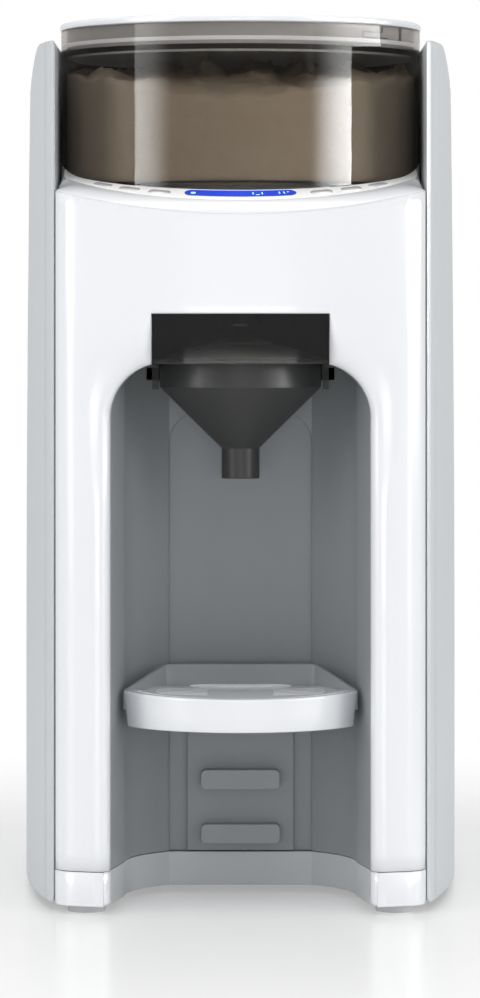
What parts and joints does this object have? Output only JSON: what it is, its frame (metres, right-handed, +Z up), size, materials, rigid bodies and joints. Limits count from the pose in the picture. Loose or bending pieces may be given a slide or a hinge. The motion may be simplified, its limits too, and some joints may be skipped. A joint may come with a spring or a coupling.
{
  "type": "baby formula maker",
  "caption": "Counter-top machine that doses powder from a round hopper, rinses it through a funnel and fills a bottle on a height-set tray.",
  "frame": {"origin": "on the counter under the middle of the machine's box", "axes": "+Z up, -Y the front with the niche, +X to the right seen from the front"},
  "size_m": [0.194, 0.33, 0.381],
  "materials": {
    "white_gloss": "gloss",
    "white_satin": "satin",
    "side_silver": "satin",
    "niche_grey": "satin",
    "silver_plastic": "satin",
    "smoke_clear": "clear",
    "smoke_dark": "gloss",
    "tank_clear": "clear",
    "lcd_blue": "gloss",
    "pcb_green": "satin",
    "black_plastic": "satin",
    "inner_grey": "satin",
    "white_pom": "satin",
    "rubber_black": "matt",
    "rubber_grey": "matt",
    "silicone": "matt",
    "steel": "brushed",
    "alu": "cast"
  },
  "bodies": {
    "machine": {"base": "white_gloss", "bottom_plate": "white_satin", "feet": "rubber_grey", "base_niche_band": "niche_grey", "front_shell": "white_gloss", "niche_liner": "niche_grey", "ledge_panel": "niche_grey", "left_side_cover": "side_silver", "right_side_cover": "side_silver", "rear_cover": "white_satin", "top_cover": "white_satin", "control_deck": "white_gloss", "control_strip": "silver_plastic", "lcd_window": "lcd_blue", "lcd_module": "black_plastic", "control_board": "pcb_green", "button_switches": "black_plastic", "hopper_seat": "inner_grey", "powder_chute": "white_pom", "gear_motor": "steel", "gear_case": "inner_grey", "funnel_dock": "black_plastic", "tank_dock": "white_gloss", "dock_seal": "rubber_black", "pump": "black_plastic", "heater": "alu", "thermostat": "black_plastic", "inlet_hose": "silicone", "outlet_hose": "silicone", "nozzle_hose": "silicone", "chassis": "inner_grey", "power_board": "pcb_green", "cord_gland": "black_plastic", "case_screws": "steel", "board_screws": "steel"},
    "button_1": {"button_1": "silver_plastic"},
    "button_2": {"button_2": "silver_plastic"},
    "button_3": {"button_3": "silver_plastic"},
    "button_4": {"button_4": "silver_plastic"},
    "button_5": {"button_5": "silver_plastic"},
    "button_6": {"button_6": "silver_plastic"},
    "hopper": {"hopper": "smoke_clear", "wheel_scraper": "white_pom"},
    "lid": {"lid": "white_gloss", "lid_seal": "rubber_black"},
    "powder_wheel": {"powder_wheel": "white_pom", "stirrer": "white_pom"},
    "drive_gear": {"drive_gear": "white_pom"},
    "motor_pinion": {"motor_pinion": "steel"},
    "funnel": {"funnel": "smoke_dark", "funnel_cover": "smoke_dark", "funnel_window": "smoke_dark"},
    "tray": {"tray": "white_gloss", "tray_bracket": "niche_grey"},
    "tray_grate": {"tray_grate": "white_satin"},
    "water_tank": {"water_tank": "tank_clear", "valve_seal": "rubber_black", "valve_spring": "steel"},
    "tank_lid": {"tank_lid": "white_satin"},
    "tank_valve": {"tank_valve": "white_pom"}
  },
  "joints": [
    {"name": "button_1_press", "type": "slide", "parent": "machine", "child": "button_1", "axis": [0, 0.1908, -0.9816], "range_m": [0, 0.0008], "stiffness_N_per_m": 400},
    {"name": "button_2_press", "type": "slide", "parent": "machine", "child": "button_2", "axis": [0, 0.1908, -0.9816], "range_m": [0, 0.0008], "stiffness_N_per_m": 400},
    {"name": "button_3_press", "type": "slide", "parent": "machine", "child": "button_3", "axis": [0, 0.1908, -0.9816], "range_m": [0, 0.0008], "stiffness_N_per_m": 400},
    {"name": "button_4_press", "type": "slide", "parent": "machine", "child": "button_4", "axis": [0, 0.1908, -0.9816], "range_m": [0, 0.0008], "stiffness_N_per_m": 400},
    {"name": "button_5_press", "type": "slide", "parent": "machine", "child": "button_5", "axis": [0, 0.1908, -0.9816], "range_m": [0, 0.0008], "stiffness_N_per_m": 400},
    {"name": "button_6_press", "type": "slide", "parent": "machine", "child": "button_6", "axis": [0, 0.1908, -0.9816], "range_m": [0, 0.0008], "stiffness_N_per_m": 400},
    {"name": "hopper_lift", "type": "slide", "parent": "machine", "child": "hopper", "axis": [0, 0, 1], "range_m": [0, 0.085]},
    {"name": "lid_lift", "type": "slide", "parent": "hopper", "child": "lid", "axis": [0, 0, 1], "range_m": [0, 0.05]},
    {"name": "wheel_spin", "type": "hinge", "parent": "hopper", "child": "powder_wheel", "pos_m": [0, -0.07, 0.304], "axis": [0, 0, 1], "continuous": true},
    {"name": "gear_spin", "type": "hinge", "parent": "machine", "child": "drive_gear", "pos_m": [0, -0.07, 0.279], "axis": [0, 0, 1], "continuous": true},
    {"name": "pinion_spin", "type": "hinge", "parent": "machine", "child": "motor_pinion", "pos_m": [0, -0.0284, 0.279], "axis": [0, 0, 1], "continuous": true},
    {"name": "funnel_pull", "type": "slide", "parent": "machine", "child": "funnel", "axis": [0, -1, 0], "range_m": [0, 0.11]},
    {"name": "tray_pull", "type": "slide", "parent": "machine", "child": "tray", "axis": [0, -1, 0], "range_m": [0, 0.06]},
    {"name": "grate_lift", "type": "slide", "parent": "tray", "child": "tray_grate", "axis": [0, 0, 1], "range_m": [0, 0.03]},
    {"name": "tank_lift", "type": "slide", "parent": "machine", "child": "water_tank", "axis": [0, 0, 1], "range_m": [0, 0.06]},
    {"name": "tank_lid_hinge", "type": "hinge", "parent": "water_tank", "child": "tank_lid", "pos_m": [0, 0.072, 0.353], "axis": [1, 0, 0], "range_deg": [0, 100]},
    {"name": "valve_slide", "type": "slide", "parent": "water_tank", "child": "tank_valve", "axis": [0, 0, 1], "range_m": [0, 0.004], "stiffness_N_per_m": 250, "deforming": ["valve_spring"]}
  ],
  "couplings": [
    {"joint": "wheel_spin", "follows": "gear_spin", "ratio": 1},
    {"joint": "pinion_spin", "follows": "gear_spin", "ratio": -3.3333}
  ]
}
